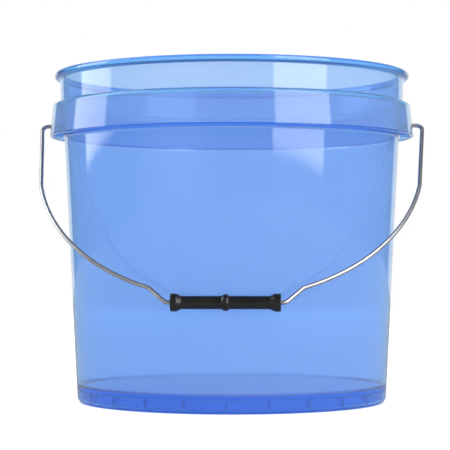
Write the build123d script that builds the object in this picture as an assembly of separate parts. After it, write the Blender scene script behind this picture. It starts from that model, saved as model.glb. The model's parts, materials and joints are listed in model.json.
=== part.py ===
from build123d import *
import math
import os

# Wash bucket: moulded pail, swinging wire bail and a grip that spins on the wire.
# Millimetres, +Z up. Origin: centre of the ring that the bucket stands on.
# The ears are on +X and -X. At rest the bail hangs on the front wall, at -Y.

# ---- tub: overall sizes
lip_od = 302.0          # outside diameter of the lip
tub_h = 278.0           # floor of the room to the top of the lip
base_od = 262.0         # outside diameter of the wall, carried down to the ground

# ---- tub: lip and neck
lip_h = 5.2             # height of the bead
lip_reach = 4.6         # how far the bead stands out from the neck
lip_round_out = 2.2     # rounding of the bead's outer edges
lip_round_in = 1.0      # rounding of the edges at the mouth and under the bead
neck_t = 2.2            # neck wall
neck_draft = 0.4        # how much wider the neck is under the lip than at the collar

# ---- tub: collar, a skirt that stands out from the wall
collar_drop = 27.0      # lip top down to the skirt's top edge
collar_h = 26.8         # height of the skirt
collar_reach = 6.3      # skirt's top edge beyond the neck
collar_flare = 2.7      # skirt's bottom edge beyond its top edge
collar_t = 2.2          # thickness of the skirt and of the web that carries it
collar_round = 2.0      # rounding of the skirt's top edge
web_rise = 1.2          # how much higher the web is at the neck

# ---- tub: wall and its two small steps
wall_t = 2.2            # thickness of the wall
lower_step = 1.5        # step out in the wall behind the skirt's bottom edge
upper_step = 1.9        # step out in the wall at the web
step_rise = 2.6         # height over which a step happens
step_below = 2.4        # lower step starts this far under the skirt's bottom edge
step_round = 1.2        # rounding of the steps

# ---- tub: floor and foot
floor_t = 2.4           # thickness of the floor
foot_h = 11.0           # height of the recess under the floor
foot_round = 4.4        # rounding of the foot's outer edge
toe_w = 2.2             # width of the flat ring on the ground
toe_t = 2.2             # thickness of the turned-in toe
floor_round = 3.0       # rounding where the floor meets the wall
rib_count = 24          # ribs inside the foot
rib_t = 1.6             # thickness of a rib
rib_run = 8.0           # length of a rib along the floor
gate_d = 7.0            # mark left by the moulding gate, under the floor
gate_h = 0.8

# ---- ears
ear_drop = 16.5         # web's top edge down to the wire's pivot line
ear_half_w = 10.0       # pivot line to the near face of a gusset
gusset_t = 2.0          # thickness of a gusset
gusset_lift = 1.2       # gussets end this far above the skirt's bottom edge

# ---- bail wire
wire_d = 3.4
wire_fit = 0.08         # radial running clearance of the wire in ears and grip
leg_gap = 9.0           # skirt at the pivot line to the wire's leg
bail_drop = 205.5       # pivot line to the middle of the grip
leg_len = 75.0          # straight leg
leg_lean = 6.3          # how far the leg leans in over its length
shoulder_lean = 12.6    # slope of the wide bend where it leaves the leg, degrees from the leg's line down
shoulder_slope = 22.8   # slope of the wide bend where it meets the joggle, degrees
top_bend_r = 5.2        # bend outside the ear
leg_bend_r = 30.0       # slight bend at the leg's end
joggle_run = 13.5       # joggle beside the grip, along the grip
joggle_rise = 15.5      # joggle beside the grip, across it
joggle_r = 6.0          # bends of the joggle
joggle_gap = 3.8        # grip's end to the joggle's corner
hook_gap = 3.7          # wall behind the ear to the middle of the hooked end
hook_len = 6.5          # hooked end, measured from the pivot line
hook_r = 3.0            # bend inside the ear
tip_round = 0.4         # bevel on the cut ends

# ---- grip
grip_len = 85.4
grip_d = 10.2           # plain tube
flange_d = 14.0         # flange at each end
flange_w = 4.8
flare_w = 3.6           # taper between tube and flange
ring_d = 13.0           # raised ring in the middle
ring_w = 6.0
mouth_d = 9.0           # countersunk mouth in each end
mouth_deep = 2.6
rest_gap = 1.0          # gap between grip and wall when the bail hangs
far_spare = 1.26        # degrees the swing ends short of the same pose behind the tub

# ---- derived places of the tub
lip_r = lip_od / 2
neck_top_r = lip_r - lip_reach
neck_r = neck_top_r - neck_draft
collar_top_z = tub_h - collar_drop
collar_low_z = collar_top_z - collar_h
web_under_z = collar_top_z - collar_t
skirt_top_r = neck_r + collar_reach
skirt_low_r = skirt_top_r + collar_flare
back_r = neck_r - upper_step
step_z = collar_low_z - step_below
wall_top_r = back_r - lower_step
base_r = base_od / 2
wall_slope = (wall_top_r - base_r) / step_z
wall_lean = math.atan(wall_slope)
floor_z = foot_h + floor_t


def wall_r(z):
    """Outside radius of the tapered wall at height z."""
    return base_r + wall_slope * z


def skirt_r(z):
    """Outside radius of the skirt at height z."""
    return skirt_low_r - collar_flare * (z - collar_low_z) / collar_h


# ---- derived places of the bail
pivot_z = collar_top_z - ear_drop
wire_r = wire_d / 2
leg_x = skirt_r(pivot_z) + leg_gap
hook_x = back_r + hook_gap
grip_half = grip_len / 2
reach = math.cos(wall_lean) * wall_r(pivot_z) + ring_d / 2 + rest_gap
rest_tilt = math.asin(reach / bail_drop) - wall_lean
bail_plane = Plane(
    origin=(0, 0, pivot_z),
    x_dir=(1, 0, 0),
    z_dir=(0, math.cos(rest_tilt), -math.sin(rest_tilt)),
)


def tub_section():
    """Half section of the tub in the XZ plane, with its corners rounded."""
    foot_in_r = base_r - wall_t
    toe_in_r = base_r - foot_round - toe_w
    points = {
        "toe_in": (toe_in_r, 0),
        "base": (base_r, 0),
        "low_step": (wall_top_r, step_z),
        "low_step_up": (wall_top_r + lower_step, step_z + step_rise),
        "web_root": (back_r, web_under_z),
        "skirt_in": (skirt_r(web_under_z) - collar_t, web_under_z),
        "skirt_in_low": (skirt_low_r - collar_t, collar_low_z),
        "skirt_low": (skirt_low_r, collar_low_z),
        "skirt_top": (skirt_top_r, collar_top_z),
        "neck_low": (neck_r, collar_top_z + web_rise),
        "lip_under": (neck_top_r, tub_h - lip_h),
        "lip_low": (lip_r, tub_h - lip_h),
        "lip_top": (lip_r, tub_h),
        "mouth": (neck_top_r - neck_t, tub_h),
        "neck_in": (neck_r - neck_t, collar_top_z + web_rise + 0.5),
        "back_in": (back_r - wall_t, collar_top_z + web_rise + 0.5 - step_rise),
        "step_in_up": (wall_top_r + lower_step - wall_t, step_z + step_rise),
        "step_in": (wall_top_r - wall_t, step_z),
        "floor_edge": (wall_r(floor_z) - wall_t, floor_z),
        "floor_mid": (0, floor_z),
        "under_mid": (0, foot_h),
        "under_edge": (foot_in_r + wall_slope * foot_h, foot_h),
        "toe_root": (foot_in_r + wall_slope * toe_t, toe_t),
        "toe_top": (toe_in_r, toe_t),
    }
    rounds = {
        "base": foot_round,
        "low_step": step_round,
        "low_step_up": step_round,
        "skirt_top": collar_round,
        "neck_low": lip_round_in,
        "lip_under": lip_round_in,
        "lip_low": lip_round_out,
        "lip_top": lip_round_out,
        "mouth": lip_round_in,
        "neck_in": step_round,
        "back_in": step_round,
        "step_in_up": step_round,
        "step_in": step_round,
        "floor_edge": floor_round,
        "under_edge": lip_round_in,
        "toe_root": foot_round - wall_t,
    }
    with BuildSketch(Plane.XZ) as section:
        with BuildLine():
            Polyline(*points.values(), close=True)
        make_face()
        for name, radius in rounds.items():
            spot = points[name]
            fillet(section.vertices().sort_by_distance((spot[0], 0, spot[1]))[0], radius)
    return section.sketch


def foot_rib():
    """One rib in the corner between the floor's underside and the foot, at +X."""
    inner = wall_r(foot_h) - wall_t - rib_run
    with BuildPart() as rib:
        with BuildSketch(Plane.XZ):
            Polygon(
                (inner, foot_h + floor_t / 3),
                (wall_r(foot_h) - wall_t / 2, foot_h + floor_t / 3),
                (wall_r(toe_t) - wall_t / 2, toe_t + 0.6),
                (base_r - foot_round + 0.6, toe_t + 0.6),
                (inner, foot_h - 1.0),
                align=None,
            )
        extrude(amount=rib_t / 2, both=True)
    return rib.part


def ear_gusset(side):
    """One gusset plate between wall and skirt, beside the wire on the +X ear."""
    low_z = collar_low_z + gusset_lift
    y_mid = side * (ear_half_w + gusset_t / 2)
    with BuildPart() as plate:
        with BuildSketch(Plane.XZ.offset(-y_mid)):
            Polygon(
                (back_r - lower_step / 2, low_z),
                (skirt_r(low_z) - collar_t / 2, low_z),
                (skirt_r(web_under_z) - collar_t / 2, web_under_z + collar_t / 2),
                (back_r - lower_step / 2, web_under_z + collar_t / 2),
                align=None,
            )
        extrude(amount=gusset_t / 2, both=True)
    return plate.part


def make_tub():
    """The whole moulding: shell, foot ribs, gate mark, ear gussets and wire holes."""
    with BuildPart() as tub:
        add(revolve(tub_section(), axis=Axis.Z))
        rib = foot_rib()
        for i in range(rib_count):
            add(rib.rotate(Axis.Z, 90 + i * 360 / rib_count))
        with Locations((0, 0, foot_h - gate_h)):
            Cylinder(gate_d / 2, gate_h + floor_t / 3, align=(Align.CENTER, Align.CENTER, Align.MIN))
        for turn in (0, 180):
            for side in (-1, 1):
                add(ear_gusset(side).rotate(Axis.Z, turn))
        hole_from = back_r + 2
        for turn in (0, 180):
            hole = Cylinder(
                wire_r + wire_fit,
                leg_gap + skirt_r(pivot_z) - hole_from,
                rotation=(0, 90, 0),
                align=(Align.CENTER, Align.CENTER, Align.MIN),
                mode=Mode.PRIVATE,
            )
            add(hole.moved(Location((hole_from, 0, pivot_z))).rotate(Axis.Z, turn), mode=Mode.SUBTRACT)
    return tub.part


def bail_corners():
    """Corners and bend radii of the right half of the bail, in the bail's own plane.

    Across the bail is x, away from the pivot line is y.
    """
    leg_end = (leg_x - leg_lean, leg_len)
    inner = (grip_half + joggle_gap, bail_drop)
    outer = (inner[0] + joggle_run, bail_drop - joggle_rise)
    down = math.radians(shoulder_lean)
    flat = math.radians(shoulder_slope)
    # meeting point of the wide bend's two tangents
    a11, a12 = -math.sin(down), -math.cos(flat)
    a21, a22 = math.cos(down), math.sin(flat)
    b1, b2 = outer[0] - leg_end[0], outer[1] - leg_end[1]
    det = a11 * a22 - a12 * a21
    upper = (b1 * a22 - a12 * b2) / det
    lower = (a11 * b2 - b1 * a21) / det
    wide = (leg_end[0] + a11 * upper, leg_end[1] + a21 * upper)
    turn = math.pi / 2 - down - flat
    room = min(upper, lower) - 2.5
    corners = [(hook_x, hook_len), (hook_x, 0), (leg_x, 0), leg_end, wide, outer, inner]
    radii = [hook_r, top_bend_r, leg_bend_r, room / math.tan(turn / 2), joggle_r, joggle_r]
    return corners, radii


def make_bail():
    """Wire swept along the bail's centre line, hooked end to hooked end."""
    corners, radii = bail_corners()
    left = [(-x, y) for x, y in reversed(corners)]
    with BuildLine(bail_plane) as path:
        FilletPolyline(*corners, *left, radius=radii + radii[::-1])
    line = path.wires()[0]
    start = Plane(origin=line @ 0, z_dir=line % 0)
    wire = sweep(start * Circle(wire_r), path=line)
    ends = wire.faces().filter_by(GeomType.PLANE).edges()
    return chamfer(ends, tip_round)


def make_grip():
    """Moulded tube turned about the straight middle of the wire."""
    bore_r = wire_r + wire_fit
    body_r = grip_d / 2
    flange_r = flange_d / 2
    ring_rise = (ring_d - grip_d) / 2
    with BuildPart() as grip:
        with BuildSketch(Plane.XY) as section:
            with BuildLine():
                Polyline(
                    (-ring_w / 2, body_r),
                    (-(grip_half - flange_w - flare_w), body_r),
                    (-(grip_half - flange_w), flange_r),
                    (-grip_half, flange_r),
                    (-grip_half, mouth_d / 2),
                    (-(grip_half - mouth_deep), bore_r),
                    (grip_half - mouth_deep, bore_r),
                    (grip_half, mouth_d / 2),
                    (grip_half, flange_r),
                    (grip_half - flange_w, flange_r),
                    (grip_half - flange_w - flare_w, body_r),
                    (ring_w / 2, body_r),
                )
                ThreePointArc((ring_w / 2, body_r), (0, body_r + ring_rise), (-ring_w / 2, body_r))
            make_face()
            for x in (-grip_half, grip_half):
                fillet(section.vertices().sort_by_distance((x, flange_r, 0))[0], 0.9)
            for x in (-(grip_half - flange_w), grip_half - flange_w):
                fillet(section.vertices().sort_by_distance((x, flange_r, 0))[0], 1.2)
            for x in (-(grip_half - flange_w - flare_w), grip_half - flange_w - flare_w):
                fillet(section.vertices().sort_by_distance((x, body_r, 0))[0], 2.5)
        revolve(axis=Axis.X)
    return bail_plane * Location((0, bail_drop, 0)) * grip.part


nodes = {
    "tub": make_tub(),
    "bail_wire": make_bail(),
    "grip": make_grip(),
}
os.makedirs("parts", exist_ok=True)
for name, solid in nodes.items():
    export_step(solid, os.path.join("parts", name + ".step"))
    box = solid.bounding_box()
    print(name, "solids", len(solid.solids()), "valid", solid.is_valid, "volume", round(solid.volume, 1))
    print("   from", [round(v, 2) for v in box.min], "to", [round(v, 2) for v in box.max])
print("pivot z", round(pivot_z, 3), "rest tilt", round(math.degrees(rest_tilt), 3))
print("swing", round(360 - 2 * math.degrees(rest_tilt) - far_spare, 2))
grip_y = -bail_drop * math.sin(rest_tilt)
grip_z = pivot_z - bail_drop * math.cos(rest_tilt)
print("grip axis y", round(grip_y, 3), "z", round(grip_z, 3), "floor top z", round(floor_z, 3))
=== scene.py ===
"""Wash bucket: a clear blue moulded pail with a galvanised wire bail and a black hand grip."""

import json
import logging
import math
from dataclasses import dataclass
from enum import Enum
from typing import Any, Iterable, Sequence, Union

import bmesh
import bpy
from mathutils import Matrix, Vector


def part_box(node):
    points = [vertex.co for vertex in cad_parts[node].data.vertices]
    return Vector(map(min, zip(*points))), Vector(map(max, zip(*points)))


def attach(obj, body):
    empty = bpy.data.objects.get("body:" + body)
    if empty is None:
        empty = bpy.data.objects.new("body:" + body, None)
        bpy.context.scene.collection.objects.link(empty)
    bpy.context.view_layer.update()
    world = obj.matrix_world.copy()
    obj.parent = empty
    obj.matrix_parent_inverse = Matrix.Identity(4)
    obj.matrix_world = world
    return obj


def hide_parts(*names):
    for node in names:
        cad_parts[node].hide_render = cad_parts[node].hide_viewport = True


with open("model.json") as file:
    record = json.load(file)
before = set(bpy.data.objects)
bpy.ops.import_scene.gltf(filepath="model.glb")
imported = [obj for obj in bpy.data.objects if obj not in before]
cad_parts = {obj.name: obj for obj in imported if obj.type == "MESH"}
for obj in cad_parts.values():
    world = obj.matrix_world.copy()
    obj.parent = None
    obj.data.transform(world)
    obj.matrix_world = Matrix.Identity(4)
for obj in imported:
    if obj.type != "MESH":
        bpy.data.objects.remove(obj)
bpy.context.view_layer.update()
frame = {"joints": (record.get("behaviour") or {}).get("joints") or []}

log = logging.getLogger("wash_bucket")

Value = Union["Num", bpy.types.NodeSocket, float, int, tuple, str, bpy.types.Material]


class Body(Enum):
    """The moving bodies of the bucket."""

    TUB = "tub"
    BAIL = "bail"
    GRIP = "grip"


class Slot(Enum):
    """The record's material slots."""

    TUB = "tub_plastic"
    BAIL = "bail_steel"
    GRIP = "grip_plastic"


# ---------------------------------------------------------------- nodes


class Bench:
    """Places nodes in one node tree and links them."""

    def __init__(self, tree: bpy.types.NodeTree) -> None:
        """Starts work on a tree.

        Args:
            tree: The material, world or geometry tree that the nodes go into.
        """
        self.tree = tree

    def feed(self, socket: bpy.types.NodeSocket, value: Value) -> None:
        """Links a socket to another one, or sets its value.

        Args:
            socket: The input to feed.
            value: A number, colour, object or name, or the output to link from.
        """
        if isinstance(value, Num):
            value = value.socket
        if isinstance(value, bpy.types.NodeSocket):
            self.tree.links.new(value, socket)
        else:
            socket.default_value = value

    def node(
        self, kind: str, settings: dict[str, Any] | None = None, **inputs: Value
    ) -> bpy.types.Node:
        """Makes one node.

        Args:
            kind: The node's type name.
            settings: Properties that are set before the inputs, with "stops" for a ramp's stops.
            inputs: Values or links by socket name, with underscores for spaces, or by "i" and a number.

        Returns:
            The new node.
        """
        made = self.tree.nodes.new(kind)
        for name, setting in (settings or {}).items():
            if name == "stops":
                self._set_stops(made.color_ramp, setting)
            else:
                setattr(made, name, setting)
        for name, value in inputs.items():
            self.feed(self._socket(made, name), value)
        return made

    def num(
        self, kind: str, settings: dict[str, Any] | None = None, out: str | int = 0, **inputs: Value
    ) -> "Num":
        """Makes one node and returns one of its outputs as a number.

        Args:
            kind: The node's type name.
            settings: Properties that are set before the inputs.
            out: The output's name or place.
            inputs: As for node.

        Returns:
            The output, ready for arithmetic.
        """
        return Num(self, self.node(kind, settings, **inputs).outputs[out])

    def maths(self, operation: str, *values: Value) -> "Num":
        """Adds one Math node.

        Args:
            operation: The Math node's operation.
            values: Its inputs, in order.

        Returns:
            The result.
        """
        made = self.tree.nodes.new("ShaderNodeMath")
        made.operation = operation
        for socket, value in zip(made.inputs, values):
            self.feed(socket, value)
        return Num(self, made.outputs[0])

    def window(self, value: "Num", low: float, high: float, soft: float) -> "Num":
        """A mask that is 1 between two values and fades to 0 outside them.

        Args:
            value: The number that is tested.
            low: Where the mask is half way up.
            high: Where the mask is half way down.
            soft: Width of each fade.

        Returns:
            The mask.
        """
        rise = self._smooth(value, low - soft / 2, low + soft / 2)
        fall = self._smooth(value, high - soft / 2, high + soft / 2)
        return rise * (1.0 - fall)

    def _smooth(self, value: "Num", low: float, high: float) -> "Num":
        """A smooth step from 0 at one value to 1 at another.

        Args:
            value: The number that is tested.
            low: Where the step starts.
            high: Where it ends.

        Returns:
            The step.
        """
        made = self.tree.nodes.new("ShaderNodeMapRange")
        made.interpolation_type = "SMOOTHSTEP"
        self.feed(made.inputs["Value"], value)
        made.inputs["From Min"].default_value = low
        made.inputs["From Max"].default_value = high
        return Num(self, made.outputs["Result"])

    def mix(self, factor: Value, first: Value, second: Value) -> bpy.types.NodeSocket:
        """Blends two colours.

        Args:
            factor: 0 for the first colour, 1 for the second.
            first: A colour.
            second: Another colour.

        Returns:
            The blended colour.
        """
        made = self.node("ShaderNodeMix", {"data_type": "RGBA"}, Factor=factor, A=first, B=second)
        return next(socket for socket in made.outputs if socket.enabled)

    @staticmethod
    def _set_stops(ramp: bpy.types.ColorRamp, stops: Sequence[tuple[float, tuple]]) -> None:
        """Gives a colour ramp its stops.

        Args:
            ramp: The ramp.
            stops: Each stop as (place, colour), in order.
        """
        while len(ramp.elements) < len(stops):
            ramp.elements.new(0.5)
        for element, (place, colour) in zip(ramp.elements, stops):
            element.position = place
            element.color = colour

    @staticmethod
    def _socket(made: bpy.types.Node, name: str) -> bpy.types.NodeSocket:
        """Finds one of a node's inputs.

        Args:
            made: The node.
            name: The input's name with underscores for spaces, or "i" and its place.

        Returns:
            The enabled input of that name, or the one at that place.
        """
        if name[0] == "i" and name[1:].isdigit():
            return made.inputs[int(name[1:])]
        wanted = name.replace("_", " ")
        for socket in made.inputs:
            if socket.name == wanted and socket.enabled:
                return socket
        raise KeyError(f"{made.bl_idname} has no input {wanted}")


class Num:
    """A number that flows through a node tree, with the usual arithmetic."""

    def __init__(self, bench: Bench, socket: bpy.types.NodeSocket) -> None:
        """Wraps an output.

        Args:
            bench: The bench whose tree the output is in.
            socket: The output.
        """
        self.bench = bench
        self.socket = socket

    def __add__(self, other: Value) -> "Num":
        """Sum."""
        return self.bench.maths("ADD", self, other)

    def __radd__(self, other: Value) -> "Num":
        """Sum with a plain number in front."""
        return self.bench.maths("ADD", other, self)

    def __sub__(self, other: Value) -> "Num":
        """Difference."""
        return self.bench.maths("SUBTRACT", self, other)

    def __rsub__(self, other: Value) -> "Num":
        """Difference with a plain number in front."""
        return self.bench.maths("SUBTRACT", other, self)

    def __mul__(self, other: Value) -> "Num":
        """Product."""
        return self.bench.maths("MULTIPLY", self, other)

    def __rmul__(self, other: Value) -> "Num":
        """Product with a plain number in front."""
        return self.bench.maths("MULTIPLY", other, self)

    def __truediv__(self, other: Value) -> "Num":
        """Quotient."""
        return self.bench.maths("DIVIDE", self, other)

    def __pow__(self, other: Value) -> "Num":
        """Power."""
        return self.bench.maths("POWER", self, other)

    def cos(self) -> "Num":
        """Cosine."""
        return self.bench.maths("COSINE", self)

    def sin(self) -> "Num":
        """Sine."""
        return self.bench.maths("SINE", self)

    def max(self, other: Value) -> "Num":
        """The larger of two."""
        return self.bench.maths("MAXIMUM", self, other)

    def rounded(self) -> "Num":
        """Nearest whole number."""
        return self.bench.maths("ROUND", self)


# ---------------------------------------------------------------- finishes


@dataclass(frozen=True)
class ClearBluePlastic:
    """Blue polypropylene, clarified so that the far wall shows through it.

    Lip, collar, the collar's lower edge and foot have a colour each, by height above the ground. The dark
    band at the collar's lower edge is painted shade, standing in for the dark line that light through the
    clear plastic makes there, and the darker foot is painted shade where less light reaches, partly also
    thicker plastic.
    """

    clearness: float = 0.88
    tint_density: float = 110.0
    tint: tuple = (0.15, 0.945, 0.995, 1.0)
    surface: tuple = (0.511, 0.647, 0.996, 1.0)
    collar: tuple = (0.607, 0.721, 1.0, 1.0)
    # Painted shade: darker blue at the foot, where less light reaches its walls; partly also the thicker
    # plastic there.
    foot: tuple = (0.25, 0.48, 0.98, 1.0)
    lip: tuple = (0.30, 0.50, 0.98, 1.0)
    # Painted shade: a dark blue band at the collar's lower edge, in place of the dark line that light
    # through the clear plastic makes there.
    edge: tuple = (0.12, 0.32, 0.95, 1.0)
    foot_high: float = 0.0135
    lip_low: float = 0.2726
    collar_low: float = 0.2215
    collar_high: float = 0.2505
    collar_edge: float = 0.2242
    haze: float = 0.035
    scuffed: float = 0.025
    streak: float = 0.06
    streak_tone: tuple = (0.30, 0.52, 0.95, 1.0)
    edge_half: float = 0.0009
    soft: float = 0.0008
    ior: float = 1.49

    def build(self) -> bpy.types.Material:
        """Makes the material.

        Returns:
            Clear tinted plastic: polished skin, colour by depth, painted shade at the foot and at the
                collar's lower edge, faint flow ripples and handling haze.
        """
        material, bench, shader, out = new_material("clear_blue_plastic")
        place = bench.node("ShaderNodeTexCoord").outputs["Object"]
        drawn = bench.node("ShaderNodeMapping", i0=place, Scale=(1.0, 1.0, 0.16))
        flow = bench.num("ShaderNodeTexNoise", None, 0, Vector=drawn.outputs[0], Scale=38.0, Detail=2.0)
        scuff = bench.num("ShaderNodeTexNoise", None, 0, Vector=place, Scale=260.0, Detail=4.0)
        shader.inputs["Transmission Weight"].default_value = self.clearness
        shader.inputs["IOR"].default_value = self.ior
        height = bench.num("ShaderNodeSeparateXYZ", None, "Z", i0=place)
        thin = bench.window(height, self.collar_low, self.collar_high, 0.0012)
        # Mask for the painted shade at the foot.
        foot_shade_mask = bench.window(height, -1.0, self.foot_high, 0.0030)
        rolled = bench.window(height, self.lip_low, 1.0, self.soft)
        # Mask for the painted shade band at the collar's lower edge.
        rim_low, rim_high = self.collar_edge - self.edge_half, self.collar_edge + self.edge_half
        edge_shade_mask = bench.window(height, rim_low, rim_high, self.soft)
        tone = bench.mix(foot_shade_mask, bench.mix(thin, self.surface, self.collar), self.foot)
        tone = bench.mix(edge_shade_mask, bench.mix(rolled, tone, self.lip), self.edge)
        streaked = bench.mix(self.streak * flow, tone, self.streak_tone)
        bench.feed(shader.inputs["Base Color"], streaked)
        handled = bench.window(scuff, 0.56, 1.2, 0.12)
        bench.feed(shader.inputs["Roughness"], self.haze + self.scuffed * handled)
        relief = bench.node("ShaderNodeBump", None, Strength=0.12, Distance=0.0004, Height=flow)
        bench.feed(shader.inputs["Normal"], relief.outputs["Normal"])
        depth = bench.node("ShaderNodeVolumeAbsorption", None, Color=self.tint, Density=self.tint_density)
        bench.feed(out.inputs["Volume"], depth.outputs[0])
        return material


@dataclass(frozen=True)
class GalvanisedWire:
    """Drawn steel wire with a zinc coat."""

    bright: tuple = (0.62, 0.63, 0.65, 1.0)
    dull: tuple = (0.40, 0.41, 0.43, 1.0)

    def build(self) -> bpy.types.Material:
        """Makes the material.

        Returns:
            Metal with draw lines along the wire and cloudy zinc patches.
        """
        material, bench, shader, _ = new_material("galvanised_wire")
        along = bench.node("ShaderNodeAttribute", {"attribute_name": "straightened"}).outputs["Vector"]
        lines = bench.node("ShaderNodeMapping", i0=along, Scale=(45.0, 2400.0, 2400.0))
        draw = bench.num("ShaderNodeTexNoise", None, 0, Vector=lines.outputs[0], Scale=1.0, Detail=3.0)
        cloud = bench.num("ShaderNodeTexNoise", None, 0, Vector=along, Scale=420.0, Detail=3.0)
        zinc = {"stops": [(0.32, self.dull), (0.68, self.bright)]}
        tone = bench.node("ShaderNodeValToRGB", zinc, Fac=0.5 * draw + 0.5 * cloud)
        bench.feed(shader.inputs["Base Color"], tone.outputs["Color"])
        shader.inputs["Metallic"].default_value = 1.0
        bench.feed(shader.inputs["Roughness"], 0.24 + 0.22 * cloud)
        relief = bench.node("ShaderNodeBump", None, Strength=0.35, Distance=0.00008, Height=draw)
        bench.feed(shader.inputs["Normal"], relief.outputs["Normal"])
        return material


@dataclass(frozen=True)
class BlackGripPlastic:
    """Black moulded plastic with a fine satin grain and a parting line."""

    centre: tuple = (0.0, 0.0, 0.0)
    tilt: float = 0.0
    body: tuple = (0.0035, 0.0035, 0.0045, 1.0)
    worn: tuple = (0.008, 0.008, 0.0095, 1.0)

    def build(self) -> bpy.types.Material:
        """Makes the material.

        Returns:
            Satin black plastic: grain, rubbed patches and the line where the mould halves met.
        """
        material, bench, shader, _ = new_material("black_grip_plastic")
        place = bench.node("ShaderNodeTexCoord").outputs["Object"]
        on_axis = bench.node(
            "ShaderNodeMapping",
            {"vector_type": "TEXTURE"},
            i0=place,
            Location=self.centre,
            Rotation=(self.tilt, 0.0, 0.0),
        )
        parts = bench.node("ShaderNodeSeparateXYZ", None, i0=on_axis.outputs[0])
        across = Num(bench, parts.outputs["Z"])
        seam = bench.window(across, -0.00016, 0.00016, 0.0002)
        grain = bench.num("ShaderNodeTexNoise", None, 0, Vector=place, Scale=2600.0, Detail=2.0)
        rub = bench.num("ShaderNodeTexNoise", None, 0, Vector=place, Scale=70.0, Detail=3.0)
        tone = bench.node("ShaderNodeValToRGB", {"stops": [(0.35, self.body), (0.72, self.worn)]}, Fac=rub)
        bench.feed(shader.inputs["Base Color"], tone.outputs["Color"])
        bench.feed(shader.inputs["Roughness"], 0.22 + 0.10 * rub + 0.05 * grain)
        height = 0.25 * grain + seam
        relief = bench.node("ShaderNodeBump", None, Strength=0.5, Distance=0.00012, Height=height)
        bench.feed(shader.inputs["Normal"], relief.outputs["Normal"])
        return material


@dataclass(frozen=True)
class WhiteSweep:
    """Overexposed white studio floor, blue where the light has come down through the tub."""

    foot_r: float = 0.129
    shade: tuple = (0.05, 0.16, 0.62, 1.0)
    dim: tuple = (0.86, 0.86, 0.86, 1.0)
    mirrored: tuple = (0.28, 0.28, 0.28, 1.0)
    bright: tuple = (1.0, 1.0, 1.0, 1.0)
    paint: tuple = (0.07, 0.07, 0.07, 1.0)

    def build(self) -> bpy.types.Material:
        """Makes the material.

        Returns:
            Matt white floor that burns out, with a faint mottling in its paint.
        """
        material, bench, shader, _ = new_material("white_sweep")
        place = bench.node("ShaderNodeTexCoord").outputs["Object"]
        mottle = bench.num("ShaderNodeTexNoise", None, 0, Vector=place, Scale=9.0)
        tone = bench.node(
            "ShaderNodeValToRGB",
            {"stops": [(0.3, self.paint), (0.7, tuple(1.1 * c for c in self.paint[:3]) + (1.0,))]},
            Fac=mottle,
        )
        bench.feed(shader.inputs["Base Color"], tone.outputs["Color"])
        shader.inputs["Roughness"].default_value = 0.9
        shader.inputs["Specular IOR Level"].default_value = 0.0
        reach = bench.num("ShaderNodeVectorMath", {"operation": "LENGTH"}, "Value", i0=place)
        under = bench.window(reach, -1.0, self.foot_r, 0.006)
        ray = bench.node("ShaderNodeLightPath")
        near = bench.window(reach, -10.0, 1.5, 1.8)
        through = Num(bench, ray.outputs["Is Transmission Ray"])
        glanced = Num(bench, ray.outputs["Is Glossy Ray"]) * (1.0 - through)
        far_off = bench.mix(glanced, bench.mix(near, self.bright, self.dim), self.mirrored)
        open_floor = bench.mix(ray.outputs["Is Camera Ray"], far_off, self.bright)
        bench.feed(shader.inputs["Emission Color"], bench.mix(under, open_floor, self.shade))
        shader.inputs["Emission Strength"].default_value = 1.08
        return material


def new_material(name: str) -> tuple[bpy.types.Material, Bench, bpy.types.Node, bpy.types.Node]:
    """Starts a material.

    Args:
        name: The material's name.

    Returns:
        The material, a bench for its nodes, its shader and its output node.
    """
    material = bpy.data.materials.new(name)
    material.use_nodes = True
    tree = material.node_tree
    tree.nodes.clear()
    bench = Bench(tree)
    shader = bench.node("ShaderNodeBsdfPrincipled")
    out = bench.node("ShaderNodeOutputMaterial", None, Surface=shader.outputs[0])
    return material, bench, shader, out


# ---------------------------------------------------------------- outlines and geometry trees


@dataclass(frozen=True)
class Corner:
    """One corner of an outline, with the radius that rounds it."""

    r: float
    z: float
    round: float = 0.0


def rounded_outline(corners: Sequence[Corner], step: float = math.radians(11)) -> list[tuple[float, float]]:
    """Turns sharp corners into points on arcs.

    Args:
        corners: The outline's corners, in order. The first and the last stay sharp.
        step: Largest turn from one point of an arc to the next.

    Returns:
        The outline's points.
    """
    points = [(corners[0].r, corners[0].z)]
    for before, corner, after in zip(corners, corners[1:], corners[2:]):
        here = Vector((corner.r, corner.z))
        back = (Vector((before.r, before.z)) - here).normalized()
        ahead = (Vector((after.r, after.z)) - here).normalized()
        if corner.round <= 0:
            points.append((here.x, here.y))
            continue
        half = back.angle(ahead) / 2
        reach = corner.round / math.tan(half)
        centre = here + (back + ahead).normalized() * (corner.round / math.sin(half))
        start, end = here + back * reach - centre, here + ahead * reach - centre
        turn = start.angle_signed(end)
        count = max(2, math.ceil(abs(turn) / step))
        for i in range(count + 1):
            arm = start.copy()
            arm.rotate(Matrix.Rotation(-turn * i / count, 2))
            spot = centre + arm
            points.append((spot.x, spot.y))
    points.append((corners[-1].r, corners[-1].z))
    return points


def line_object(
    name: str, points: Iterable[Sequence[float]], bends: Sequence[float] = ()
) -> bpy.types.Object:
    """Makes an open line of edges for a geometry tree to work on.

    Args:
        name: The object's name.
        points: The line's points.
        bends: One bend radius for each point, stored as the attribute "bend".

    Returns:
        The object, linked to the scene.
    """
    spots = [tuple(p) for p in points]
    mesh = bpy.data.meshes.new(name)
    mesh.from_pydata(spots, [(i, i + 1) for i in range(len(spots) - 1)], [])
    if bends:
        mesh.attributes.new("bend", "FLOAT", "POINT").data.foreach_set("value", list(bends))
    made = bpy.data.objects.new(name, mesh)
    bpy.context.scene.collection.objects.link(made)
    return made


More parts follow.
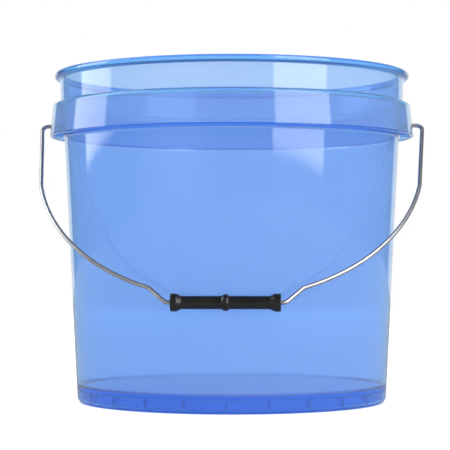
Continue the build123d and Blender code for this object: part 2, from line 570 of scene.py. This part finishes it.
class GeometryTree:
    """A geometry node tree with named inputs, ready to be put on an object."""

    def __init__(self, name: str, sizes: dict[str, tuple[str, Any]]) -> None:
        """Starts the tree.

        Args:
            name: The tree's name.
            sizes: Input name to socket type and default value.
        """
        self.tree = bpy.data.node_groups.new(name, "GeometryNodeTree")
        face = self.tree.interface
        face.new_socket(name="Geometry", in_out="INPUT", socket_type="NodeSocketGeometry")
        face.new_socket(name="Geometry", in_out="OUTPUT", socket_type="NodeSocketGeometry")
        self.identifiers: dict[str, str] = {}
        for label, (kind, default) in sizes.items():
            item = face.new_socket(name=label, in_out="INPUT", socket_type=kind)
            if default is not None:
                item.default_value = default
            self.identifiers[label] = item.identifier
        self.bench = Bench(self.tree)
        self.source = self.bench.node("NodeGroupInput")
        self.result = self.bench.node("NodeGroupOutput")

    def size(self, label: str) -> Num:
        """One of the tree's named inputs, as a number."""
        return Num(self.bench, self.source.outputs[label])

    def end(self, geometry: bpy.types.NodeSocket) -> None:
        """Closes the tree with shading, real geometry and the finish.

        Args:
            geometry: What the tree has made.
        """
        smooth = self.bench.node("GeometryNodeSetShadeSmooth", None, i0=geometry)
        real = self.bench.node("GeometryNodeRealizeInstances", None, i0=smooth.outputs[0])
        finish = self.source.outputs["Finish"]
        dressed = self.bench.node("GeometryNodeSetMaterial", None, i0=real.outputs[0], Material=finish)
        self.bench.feed(self.result.inputs[0], dressed.outputs[0])

    def make(self, source: bpy.types.Object, **values: Any) -> bpy.types.Mesh:
        """Runs the tree on an object and keeps only the mesh that comes out.

        Args:
            source: The object whose geometry goes in. It is removed.
            values: The tree's inputs by name, with underscores for spaces.

        Returns:
            A plain mesh with no modifier behind it.
        """
        modifier = source.modifiers.new("tree", "NODES")
        modifier.node_group = self.tree
        for label, value in values.items():
            modifier[self.identifiers[label.replace("_", " ")]] = value
        mesh = plain_mesh(source)
        bpy.data.objects.remove(source)
        return mesh


def plain_mesh(source: bpy.types.Object) -> bpy.types.Mesh:
    """The mesh of an object with its modifiers applied."""
    graph = bpy.context.evaluated_depsgraph_get()
    return bpy.data.meshes.new_from_object(
        source.evaluated_get(graph), preserve_all_data_layers=True, depsgraph=graph
    )


def lathe_tree() -> GeometryTree:
    """A tree that turns an outline in the XZ plane about Z into a closed body.

    Returns:
        The tree, with inputs Turns and Finish.
    """
    lathe = GeometryTree("lathe", {"Turns": ("NodeSocketInt", 288), "Finish": ("NodeSocketMaterial", None)})
    bench, source = lathe.bench, lathe.source.outputs["Geometry"]
    count = bench.num("GeometryNodeAttributeDomainSize", {"component": "MESH"}, "Point Count", i0=source)
    turns = lathe.size("Turns")
    grid = bench.node(
        "GeometryNodeMeshGrid", None, Size_X=1.0, Size_Y=1.0, Vertices_X=turns + 1.0, Vertices_Y=count
    )
    spot = bench.node("GeometryNodeInputPosition").outputs[0]
    spread = bench.node("ShaderNodeSeparateXYZ", None, i0=spot)
    angle = (Num(bench, spread.outputs["X"]) + 0.5) * (2 * math.pi)
    row = ((Num(bench, spread.outputs["Y"]) + 0.5) * (count - 1.0)).rounded()
    by_point = {"data_type": "FLOAT_VECTOR", "domain": "POINT"}
    drawn = bench.node("GeometryNodeSampleIndex", by_point, Geometry=source, Value=spot, Index=row)
    outline = bench.node("ShaderNodeSeparateXYZ", None, i0=drawn.outputs[0])
    radius = Num(bench, outline.outputs["X"])
    x, y, z = radius * angle.cos(), radius * angle.sin(), outline.outputs["Z"]
    turned = bench.node("ShaderNodeCombineXYZ", None, X=x, Y=y, Z=z).outputs[0]
    laid = bench.node("GeometryNodeSetPosition", None, Geometry=grid.outputs["Mesh"], Position=turned)
    joined = bench.node("GeometryNodeMergeByDistance", None, Geometry=laid.outputs[0], Distance=2e-6)
    lathe.end(joined.outputs[0])
    return lathe


def round_pattern_tree() -> GeometryTree:
    """A tree that repeats a piece at equal angles about Z.

    Returns:
        The tree, with inputs Count and Finish.
    """
    sizes = {"Count": ("NodeSocketInt", 24), "Finish": ("NodeSocketMaterial", None)}
    pattern = GeometryTree("round_pattern", sizes)
    bench = pattern.bench
    count = pattern.size("Count")
    points = bench.node("GeometryNodePoints", None, Count=count)
    index = bench.num("GeometryNodeInputIndex")
    angle = bench.node("ShaderNodeCombineXYZ", None, Z=index * (2 * math.pi) / count)
    copies = bench.node(
        "GeometryNodeInstanceOnPoints",
        None,
        Points=points.outputs[0],
        Instance=pattern.source.outputs["Geometry"],
        Rotation=angle.outputs[0],
    )
    pattern.end(copies.outputs[0])
    return pattern


def wire_tree() -> GeometryTree:
    """A tree that bends a line at its corners and gives it a round wire's body.

    Returns:
        The tree, with inputs Radius, Sides, Bend Steps and Finish.
    """
    sizes = {
        "Radius": ("NodeSocketFloat", 0.0017),
        "Sides": ("NodeSocketInt", 24),
        "Bend Steps": ("NodeSocketInt", 20),
        "Finish": ("NodeSocketMaterial", None),
    }
    wire = GeometryTree("bent_wire", sizes)
    bench = wire.bench
    line = bench.node("GeometryNodeMeshToCurve", None, Mesh=wire.source.outputs["Geometry"])
    bend = bench.node("GeometryNodeInputNamedAttribute", {"data_type": "FLOAT"}, Name="bend")
    bent = bench.node(
        "GeometryNodeFilletCurve",
        {"mode": "POLY"},
        Curve=line.outputs[0],
        Count=wire.size("Bend Steps"),
        Radius=bend.outputs[0],
        Limit_Radius=True,
    )
    run = bench.node("GeometryNodeSplineParameter").outputs["Length"]
    sides, radius = wire.size("Sides"), wire.size("Radius")
    ring = bench.node("GeometryNodeCurvePrimitiveCircle", None, Resolution=sides, Radius=radius)
    spot = bench.node("GeometryNodeInputPosition").outputs[0]

    def keep(kind: str, geometry: bpy.types.Node, name: str, value: Value) -> bpy.types.NodeSocket:
        """Stores a value on the points of a geometry."""
        how = {"data_type": kind, "domain": "POINT"}
        store = "GeometryNodeStoreNamedAttribute"
        return bench.node(store, how, Geometry=geometry.outputs[0], Name=name, Value=value).outputs[0]

    with_run = keep("FLOAT", bent, "run", run)
    with_ring = keep("FLOAT_VECTOR", ring, "section", spot)
    body = bench.node(
        "GeometryNodeCurveToMesh", None, Curve=with_run, Profile_Curve=with_ring, Fill_Caps=True
    )
    section = bench.node("GeometryNodeInputNamedAttribute", {"data_type": "FLOAT_VECTOR"}, Name="section")
    along = bench.node("GeometryNodeInputNamedAttribute", {"data_type": "FLOAT"}, Name="run")
    parts = bench.node("ShaderNodeSeparateXYZ", None, i0=section.outputs[0])
    across, upright = parts.outputs["X"], parts.outputs["Y"]
    straight = bench.node("ShaderNodeCombineXYZ", None, X=along.outputs[0], Y=across, Z=upright)
    wire.end(keep("FLOAT_VECTOR", body, "straightened", straight.outputs[0]))
    return wire


def outward(mesh: bpy.types.Mesh, sharp: float, weld: float = 1e-6) -> None:
    """Welds a closed mesh, points its faces outwards and marks its sharp edges.

    Args:
        mesh: The mesh.
        sharp: Edges that turn by more than this many degrees are sharp.
        weld: Points closer than this become one.
    """
    work = bmesh.new()
    work.from_mesh(mesh)
    bmesh.ops.remove_doubles(work, verts=work.verts, dist=weld)
    bmesh.ops.dissolve_degenerate(work, edges=work.edges, dist=weld)
    if work.calc_volume(signed=True) < 0:
        bmesh.ops.reverse_faces(work, faces=work.faces)
    for face in work.faces:
        face.smooth = True
    work.to_mesh(mesh)
    work.free()
    mesh.set_sharp_from_angle(angle=math.radians(sharp))


def true_runs(mesh: bpy.types.Mesh) -> bpy.types.Mesh:
    """Weights the normals by area, so that straight runs stay optically flat beside small rounds.

    Args:
        mesh: The mesh. It is put away.

    Returns:
        A copy with those normals stored in it.
    """
    holder = added(mesh.name, mesh)
    weigh = holder.modifiers.new("true_runs", "WEIGHTED_NORMAL")
    weigh.keep_sharp = True
    weigh.weight = 100
    done = plain_mesh(holder)
    bpy.data.objects.remove(holder)
    return done


def block_mesh(
    name: str, outline: Sequence[tuple[float, float]], low: float, high: float, edge: float
) -> bpy.types.Mesh:
    """A plate cut to an outline in the XZ plane, with eased edges.

    Args:
        name: The mesh's name.
        outline: The plate's (x, z) corners.
        low: Its near face, along Y.
        high: Its far face.
        edge: Bevel on all its edges.

    Returns:
        The mesh.
    """
    work = bmesh.new()
    near = work.faces.new([work.verts.new((x, low, z)) for x, z in outline])
    grown = bmesh.ops.extrude_face_region(work, geom=[near])
    far = [v for v in grown["geom"] if isinstance(v, bmesh.types.BMVert)]
    bmesh.ops.translate(work, verts=far, vec=(0, high - low, 0))
    bmesh.ops.recalc_face_normals(work, faces=work.faces)
    bmesh.ops.bevel(work, geom=work.edges[:], offset=edge, segments=2, affect="EDGES", profile=0.5)
    mesh = bpy.data.meshes.new(name)
    work.to_mesh(mesh)
    work.free()
    return mesh


def added(name: str, mesh: bpy.types.Mesh) -> bpy.types.Object:
    """Puts a mesh into the scene as an object at the origin.

    Args:
        name: The object's name.
        mesh: The mesh.

    Returns:
        The object.
    """
    made = bpy.data.objects.new(name, mesh)
    bpy.context.scene.collection.objects.link(made)
    return made


# ---------------------------------------------------------------- sub-assemblies


@dataclass
class Tub:
    """The moulded pail: lip, neck, collar with ears, wall, floor and foot."""

    lip_r: float = 0.151
    height: float = 0.278
    base_r: float = 0.131
    lip_h: float = 0.0052
    lip_reach: float = 0.0046
    neck_draft: float = 0.0004
    collar_drop: float = 0.027
    collar_h: float = 0.0268
    collar_reach: float = 0.0063
    collar_flare: float = 0.0027
    web_rise: float = 0.0012
    wall_t: float = 0.0022
    lower_step: float = 0.0015
    upper_step: float = 0.0019
    step_rise: float = 0.0026
    step_below: float = 0.0024
    floor_t: float = 0.0024
    foot_h: float = 0.011
    foot_round: float = 0.0044
    toe_w: float = 0.0022
    toe_t: float = 0.0022
    rib_count: int = 24
    rib_t: float = 0.0016
    rib_run: float = 0.008
    rib_edge: float = 0.00025
    rib_clear: float = 0.0006
    rib_hang: float = 0.001
    ear_count: int = 2
    ear_drop: float = 0.0165
    ear_half_w: float = 0.010
    gusset_t: float = 0.002
    gusset_lift: float = 0.0012
    gusset_edge: float = 0.0003
    hole_r: float = 0.00178
    hole_sides: int = 40
    hole_start: float = 0.002
    hole_past: float = 0.004
    sharp: float = 38.0
    turns: int = 288
    edge_round: float = 0.0004
    inside_round: float = 0.003
    step_round: float = 0.0012
    lip_round: float = 0.0022
    lip_inner_round: float = 0.001
    neck_round: float = 0.001
    shoulder_round: float = 0.002
    corner_round: float = 0.001
    in_step_lift: float = 0.0005
    gate_r: float = 0.0036
    gate_taper: float = 0.0003
    gate_deep: float = 0.0008
    gate_tip_r: float = 0.0009
    gate_tip_round: float = 0.0003
    finish: bpy.types.Material | None = None

    def __post_init__(self) -> None:
        """Works out the radii and heights that follow from the sizes."""
        self.neck_top_r = self.lip_r - self.lip_reach
        self.neck_r = self.neck_top_r - self.neck_draft
        self.collar_top = self.height - self.collar_drop
        self.collar_low = self.collar_top - self.collar_h
        self.web_under = self.collar_top - self.wall_t
        self.skirt_top_r = self.neck_r + self.collar_reach
        self.skirt_low_r = self.skirt_top_r + self.collar_flare
        self.back_r = self.neck_r - self.upper_step
        self.step_z = self.collar_low - self.step_below
        self.wall_top_r = self.back_r - self.lower_step
        self.slope = (self.wall_top_r - self.base_r) / self.step_z
        self.floor_z = self.foot_h + self.floor_t

    def wall_r(self, z: float) -> float:
        """Outside radius of the wall at a height."""
        return self.base_r + self.slope * z

    def skirt_r(self, z: float) -> float:
        """Outside radius of the skirt at a height."""
        return self.skirt_low_r - self.collar_flare * (z - self.collar_low) / self.collar_h

    def outline(self) -> list[tuple[float, float]]:
        """The half section, from the middle of the floor round to the middle of its underside.

        Returns:
            Points as (radius, height).
        """
        t, ease, step = self.wall_t, self.edge_round, self.step_round
        in_step_z = self.collar_top + self.web_rise + self.in_step_lift
        toe_in = self.base_r - self.foot_round - self.toe_w
        foot_in = self.base_r - t
        return rounded_outline([
            Corner(0.0, self.floor_z),
            Corner(self.wall_r(self.floor_z) - t, self.floor_z, self.inside_round),
            Corner(self.wall_top_r - t, self.step_z, step),
            Corner(self.wall_top_r + self.lower_step - t, self.step_z + self.step_rise, step),
            Corner(self.back_r - t, in_step_z - self.step_rise, step),
            Corner(self.neck_r - t, in_step_z, step),
            Corner(self.neck_top_r - t, self.height, self.lip_inner_round),
            Corner(self.lip_r, self.height, self.lip_round),
            Corner(self.lip_r, self.height - self.lip_h, self.lip_round),
            Corner(self.neck_top_r, self.height - self.lip_h, self.neck_round),
            Corner(self.neck_r, self.collar_top + self.web_rise, self.neck_round),
            Corner(self.skirt_top_r, self.collar_top, self.shoulder_round),
            Corner(self.skirt_low_r, self.collar_low, ease),
            Corner(self.skirt_low_r - t, self.collar_low, ease),
            Corner(self.skirt_r(self.web_under) - t, self.web_under, ease),
            Corner(self.back_r, self.web_under, ease),
            Corner(self.wall_top_r + self.lower_step, self.step_z + self.step_rise, step),
            Corner(self.wall_top_r, self.step_z, step),
            Corner(self.base_r, 0.0, self.foot_round),
            Corner(toe_in, 0.0, ease),
            Corner(toe_in, self.toe_t, ease),
            Corner(foot_in + self.slope * self.toe_t, self.toe_t, self.foot_round - t),
            Corner(foot_in + self.slope * self.foot_h, self.foot_h, self.corner_round),
            Corner(self.gate_r, self.foot_h, ease),
            Corner(self.gate_r - self.gate_taper, self.foot_h - self.gate_deep, ease),
            Corner(self.gate_tip_r, self.foot_h - self.gate_deep, self.gate_tip_round),
            Corner(0.0, self.foot_h - self.gate_deep / 2),
        ])

    def rib(self) -> bpy.types.Mesh:
        """Makes one rib in the corner between floor and foot.

        Returns:
            The rib's mesh, at +X.
        """
        inner = self.wall_r(self.foot_h) - self.wall_t - self.rib_run
        outline = [
            (inner, self.foot_h + self.floor_t / 3),
            (self.wall_r(self.foot_h) - self.wall_t / 2, self.foot_h + self.floor_t / 3),
            (self.wall_r(self.toe_t) - self.wall_t / 2, self.toe_t + self.rib_clear),
            (self.base_r - self.foot_round + self.rib_clear, self.toe_t + self.rib_clear),
            (inner, self.foot_h - self.rib_hang),
        ]
        return block_mesh("rib", outline, -self.rib_t / 2, self.rib_t / 2, self.rib_edge)

    def gusset_pair(self) -> bpy.types.Mesh:
        """Makes the two plates beside the wire in one ear.

        Returns:
            Both plates as one mesh, at +X.
        """
        low = self.collar_low + self.gusset_lift
        outline = [
            (self.back_r - self.lower_step / 2, low),
            (self.skirt_r(low) - self.wall_t / 2, low),
            (self.skirt_r(self.web_under) - self.wall_t / 2, self.web_under + self.wall_t / 2),
            (self.back_r - self.lower_step / 2, self.web_under + self.wall_t / 2),
        ]
        work = bmesh.new()
        for side in (-1, 1):
            low_y = side * self.ear_half_w + (-self.gusset_t if side < 0 else 0.0)
            work.from_mesh(block_mesh("gusset", outline, low_y, low_y + self.gusset_t, self.gusset_edge))
        mesh = bpy.data.meshes.new("gusset_pair")
        work.to_mesh(mesh)
        work.free()
        return mesh

    def hole(self) -> bpy.types.Mesh:
        """Makes the round cutter for the wire's hole in one ear.

        Returns:
            The cutter's mesh, at +X.
        """
        start, end = self.back_r + self.hole_start, self.skirt_low_r + self.hole_past
        middle = Matrix.Translation(((start + end) / 2, 0, self.collar_top - self.ear_drop))
        work = bmesh.new()
        bmesh.ops.create_cone(
            work,
            cap_ends=True,
            segments=self.hole_sides,
            radius1=self.hole_r,
            radius2=self.hole_r,
            depth=end - start,
            matrix=middle @ Matrix.Rotation(math.pi / 2, 4, "Y"),
        )
        mesh = bpy.data.meshes.new("hole")
        work.to_mesh(mesh)
        work.free()
        return mesh

    def build(self, lathe: GeometryTree, pattern: GeometryTree) -> bpy.types.Object:
        """Turns the shell, joins ribs and gussets to it and drills the ears.

        Args:
            lathe: The tree that turns an outline.
            pattern: The tree that repeats a piece about the axis.

        Returns:
            The finished tub, riding on its body.
        """
        profile = line_object("tub_outline", [(r, 0.0, z) for r, z in self.outline()])
        shell = lathe.make(profile, Turns=self.turns, Finish=self.finish)
        outward(shell, self.sharp)
        tub = added("clear_tub", shell)

        def around(name: str, mesh: bpy.types.Mesh, count: int) -> bpy.types.Object:
            """Repeats a piece about the axis."""
            copies = pattern.make(added(name, mesh), Count=count, Finish=self.finish)
            return added(f"{name}s", copies)

        ribs = around("rib", self.rib(), self.rib_count)
        gussets = around("gusset", self.gusset_pair(), self.ear_count)
        holes = around("hole", self.hole(), self.ear_count)
        for tool, operation in ((ribs, "UNION"), (gussets, "UNION"), (holes, "DIFFERENCE")):
            cut = tub.modifiers.new(tool.name, "BOOLEAN")
            cut.object = tool
            cut.operation = operation
            cut.solver = "EXACT"
        whole = plain_mesh(tub)
        for spare in (tub, ribs, gussets, holes):
            bpy.data.objects.remove(spare)
        outward(whole, self.sharp)
        whole.materials.clear()
        whole.materials.append(self.finish)
        piece = added("clear_tub", true_runs(whole))
        dress(piece, Body.TUB, "tub")
        return piece


@dataclass
class Bail:
    """The wire bail, hooked into both ears, with a joggle on either side of the grip."""

    pivot: Vector
    grip_spot: Vector
    wire_r: float = 0.0017
    leg_x: float = 0.162948
    leg_lean: float = 0.006742
    leg_len: float = 0.075
    shoulder_lean: float = 12.6
    shoulder_slope: float = 22.8
    joggle_run: float = 0.0135
    joggle_rise: float = 0.0155
    joggle_x: float = 0.0465
    hook_x: float = 0.1478
    hook_len: float = 0.0065
    hook_bend: float = 0.003
    knuckle_bend: float = 0.0052
    leg_bend: float = 0.030
    joggle_bend: float = 0.006
    bend_spare: float = 0.0025
    tip_edge: float = 0.0004
    sides: int = 24
    bend_steps: int = 20
    sharp: float = 40.0
    finish: bpy.types.Material | None = None

    def corners(self) -> list[tuple[float, float, float]]:
        """Corners of the right half.

        Returns:
            (across, away from the pivot line, bend radius) from the hooked end to the grip.
        """
        drop = (self.grip_spot - self.pivot).length
        leg_end = (self.leg_x - self.leg_lean, self.leg_len)
        inner = (self.joggle_x, drop)
        outer = (inner[0] + self.joggle_run, drop - self.joggle_rise)
        down, flat = math.radians(self.shoulder_lean), math.radians(self.shoulder_slope)
        run_down = Vector((-math.sin(down), math.cos(down)))
        run_flat = Vector((-math.cos(flat), math.sin(flat)))
        gap = Vector(outer) - Vector(leg_end)
        span = run_down.x * run_flat.y - run_flat.x * run_down.y
        upper = (gap.x * run_flat.y - run_flat.x * gap.y) / span
        lower = (run_down.x * gap.y - gap.x * run_down.y) / span
        wide = Vector(leg_end) + run_down * upper
        turn = math.pi / 2 - down - flat
        bend = (min(upper, lower) - self.bend_spare) / math.tan(turn / 2)
        return [
            (self.hook_x, self.hook_len, 0.0),
            (self.hook_x, 0.0, self.hook_bend),
            (self.leg_x, 0.0, self.knuckle_bend),
            (*leg_end, self.leg_bend),
            (wide.x, wide.y, bend),
            (*outer, self.joggle_bend),
            (*inner, self.joggle_bend),
        ]

    def build(self, wire: GeometryTree) -> bpy.types.Object:
        """Bends the wire.

        Args:
            wire: The tree that gives a line a wire's body.

        Returns:
            The finished bail, riding on its body.
        """
        away = (self.grip_spot - self.pivot).normalized()
        half = self.corners()
        full = half + [(-x, s, bend) for x, s, bend in reversed(half)]
        points = [self.pivot + Vector((x, 0, 0)) + away * s for x, s, _ in full]
        line = line_object("bail_line", points, [bend for _, _, bend in full])
        mesh = wire.make(
            line, Radius=self.wire_r, Sides=self.sides, Bend_Steps=self.bend_steps, Finish=self.finish
        )
        outward(mesh, self.sharp)
        piece = added("galvanised_bail", mesh)
        self._ease_tips(piece)
        dress(piece, Body.BAIL, "bail_wire")
        return piece

    def _ease_tips(self, piece: bpy.types.Object) -> None:
        """Breaks the sharp edge of the two cut ends.

        Args:
            piece: The bail, which is changed in place.
        """
        work = bmesh.new()
        work.from_mesh(piece.data)
        caps = [f for f in work.faces if len(f.verts) > 4]
        rims = list({e for f in caps for e in f.edges})
        bmesh.ops.bevel(work, geom=rims, offset=self.tip_edge, segments=2, affect="EDGES", profile=0.5)
        for face in work.faces:
            face.smooth = True
        work.to_mesh(piece.data)
        work.free()
        piece.data.set_sharp_from_angle(angle=math.radians(self.sharp))


@dataclass
class Grip:
    """The black grip: a tube with a flange at each end and a ring in the middle."""

    spot: Vector
    half: float = 0.0427
    tube_r: float = 0.0051
    flange_r: float = 0.007
    flange_w: float = 0.0048
    flare_w: float = 0.0036
    ring_r: float = 0.0065
    ring_w: float = 0.006
    mouth_r: float = 0.0045
    mouth_deep: float = 0.0026
    bore_r: float = 0.00178
    edge_round: float = 0.0004
    rim_round: float = 0.0009
    flange_round: float = 0.0012
    flare_round: float = 0.0025
    turns: int = 96
    sharp: float = 35.0
    finish: bpy.types.Material | None = None

    def outline(self) -> list[tuple[float, float]]:
        """Half section of the grip, closed, with the axis upright.

        Returns:
            Points as (radius, place along the axis).
        """
        h, fw, fl = self.half, self.flange_w, self.flare_w
        lower = [
            Corner(self.bore_r, 0.0),
            Corner(self.bore_r, -(h - self.mouth_deep), self.edge_round),
            Corner(self.mouth_r, -h, self.edge_round),
            Corner(self.flange_r, -h, self.rim_round),
            Corner(self.flange_r, -(h - fw), self.flange_round),
            Corner(self.tube_r, -(h - fw - fl), self.flare_round),
            Corner(self.tube_r, -self.ring_w / 2, self.edge_round),
        ]
        bulge = self.ring_r - self.tube_r
        radius = (self.ring_w ** 2 / 4 + bulge ** 2) / (2 * bulge)
        spread = math.asin(self.ring_w / 2 / radius)
        ring = []
        for i in range(1, 12):
            turn = spread * (i / 6 - 1)
            ring.append(Corner(self.ring_r - radius + radius * math.cos(turn), radius * math.sin(turn)))
        upper = [Corner(c.r, -c.z, c.round) for c in reversed(lower)]
        return rounded_outline(lower + ring + upper)

    def build(self, lathe: GeometryTree) -> bpy.types.Object:
        """Turns the grip and lays it along the bail.

        Args:
            lathe: The tree that turns an outline.

        Returns:
            The finished grip, riding on its body.
        """
        profile = line_object("grip_outline", [(r, 0.0, z) for r, z in self.outline()])
        mesh = lathe.make(profile, Turns=self.turns, Finish=self.finish)
        mesh.transform(Matrix.Translation(self.spot) @ Matrix.Rotation(math.pi / 2, 4, "Y"))
        outward(mesh, self.sharp)
        piece = added("black_grip", true_runs(mesh))
        dress(piece, Body.GRIP, "grip")
        return piece


def dress(piece: bpy.types.Object, body: Body, node: str) -> None:
    """Puts a finished piece on its body, in place of its CAD node.

    Args:
        piece: The piece.
        body: The body that it rides on.
        node: The CAD node that it stands for.
    """
    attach(piece, body.value)
    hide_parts(node)
    low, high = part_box(node)
    faces = len(piece.data.polygons)
    log.info("%s: %d faces, CAD box %s to %s", piece.name, faces, tuple(low), tuple(high))


# ---------------------------------------------------------------- studio


@dataclass(frozen=True)
class Softbox:
    """A bright window of the studio, by direction as seen from the bucket."""

    left: float
    right: float
    low: float
    high: float
    strength: float
    soft: float = 3.0
    soft_low: float = 1.5


@dataclass
class Studio:
    """White sweep, soft light all round and the camera."""

    camera_spot: tuple = (0.0463, -1.3992, 0.1199)
    camera_turn: float = 2.129
    camera_rise: float = 1.2163
    lens: float = 130.75
    walls: float = 0.10
    fill: float = 1.18
    floor_half: float = 2.5
    floor_gap: float = 0.0004
    floor_cells: int = 8
    ceiling: float = 24.0
    ceiling_soft: float = 12.0
    dark: float = 0.30
    overhead: tuple = (0.30, 0.52, 1.0, 1.0)
    boxes: tuple = (
        Softbox(29.0, 66.0, -1.9, 60.0, 5.0, 2.5, 0.6),
        Softbox(-60.0, -14.0, -10.0, 50.0, 0.5, 22.0, 10.0),
        Softbox(-115.0, -84.0, 0.35, 60.0, 4.2, 4.0, 0.6),
        Softbox(150.0, 181.0, -90.0, 90.0, 0.85, 6.0),
        Softbox(-181.0, -150.0, -90.0, 90.0, 0.85, 6.0),
    )

    def build(self) -> None:
        """Builds floor, light and camera."""
        self.floor()
        self.light()
        self.camera()

    def floor(self) -> None:
        """Lays a large pale floor under the bucket."""
        work = bmesh.new()
        below, cells = Matrix.Translation((0, 0, -self.floor_gap)), self.floor_cells
        bmesh.ops.create_grid(work, x_segments=cells, y_segments=cells, size=self.floor_half, matrix=below)
        mesh = bpy.data.meshes.new("sweep")
        work.to_mesh(mesh)
        work.free()
        mesh.materials.append(WhiteSweep().build())
        added("sweep", mesh)

    def light(self) -> None:
        """Lights the room: pale walls, bright windows, and white where one looks straight through."""
        world = bpy.data.worlds.new("studio")
        bpy.context.scene.world = world
        world.use_nodes = True
        world.node_tree.nodes.clear()
        bench = Bench(world.node_tree)
        outlook = bench.node("ShaderNodeTexCoord").outputs["Generated"]
        way = bench.node("ShaderNodeSeparateXYZ", None, i0=outlook)
        x, y, z = (Num(bench, way.outputs[axis]) for axis in "XYZ")
        degrees = 180.0 / math.pi
        round_it = bench.maths("ARCTAN2", x, y * -1.0) * degrees
        rise = bench.maths("ARCSINE", z) * degrees
        glow: Num | float = self.walls
        for box in self.boxes:
            across = bench.window(round_it, box.left, box.right, box.soft)
            upright = bench.window(rise, box.low, box.high, box.soft_low)
            glow = glow + box.strength * across * upright
        ray = bench.node("ShaderNodeLightPath")
        level = 1.0 - bench.window(rise, self.ceiling, 200.0, self.ceiling_soft)
        through = Num(bench, ray.outputs["Is Transmission Ray"])
        seen = Num(bench, ray.outputs["Is Camera Ray"])
        straight = seen.max(through)
        scattered = Num(bench, ray.outputs["Is Diffuse Ray"])
        mirrored = (1.0 - straight) * (1.0 - scattered)
        overhead = self.dark + (1.0 - self.dark) * level
        strength = seen + through * overhead * (1.0 - seen) + self.fill * scattered + mirrored * glow
        sky = bench.mix(through * (1.0 - level), (1.0, 1.0, 1.0, 1.0), self.overhead)
        back = bench.node("ShaderNodeBackground", None, Color=sky, Strength=strength)
        bench.node("ShaderNodeOutputWorld", None, Surface=back.outputs[0])
        scene = bpy.context.scene
        scene.view_settings.view_transform = "Standard"
        scene.cycles.max_bounces = 24
        scene.cycles.transmission_bounces = 24
        scene.cycles.glossy_bounces = 8

    def camera(self) -> None:
        """Sets the camera low in front of the bucket, looking slightly up."""
        data = bpy.data.cameras.new("camera")
        data.lens = self.lens
        data.sensor_width = 36.0
        data.clip_end = 50.0
        camera = bpy.data.objects.new("camera", data)
        camera.location = self.camera_spot
        camera.rotation_euler = (math.radians(90.0 + self.camera_rise), 0.0, math.radians(self.camera_turn))
        bpy.context.scene.collection.objects.link(camera)
        bpy.context.scene.camera = camera


def main() -> None:
    """Builds the bucket, piece by piece, and the studio around it."""
    logging.basicConfig(level=logging.INFO, format="%(name)s: %(message)s")
    joints = {joint["name"]: joint for joint in frame["joints"]}
    pivot = Vector(joints["bail_swing"]["pos_m"])
    spot = Vector(joints["grip_spin"]["pos_m"])
    away = spot - pivot
    tilt = math.atan2(away.z, away.y)
    lathe, pattern, wire = lathe_tree(), round_pattern_tree(), wire_tree()
    Tub(finish=ClearBluePlastic().build()).build(lathe, pattern)
    Bail(pivot, spot, finish=GalvanisedWire().build()).build(wire)
    Grip(spot, finish=BlackGripPlastic(tuple(spot), tilt).build()).build(lathe)
    Studio().build()


if __name__ == "__main__":
    main()
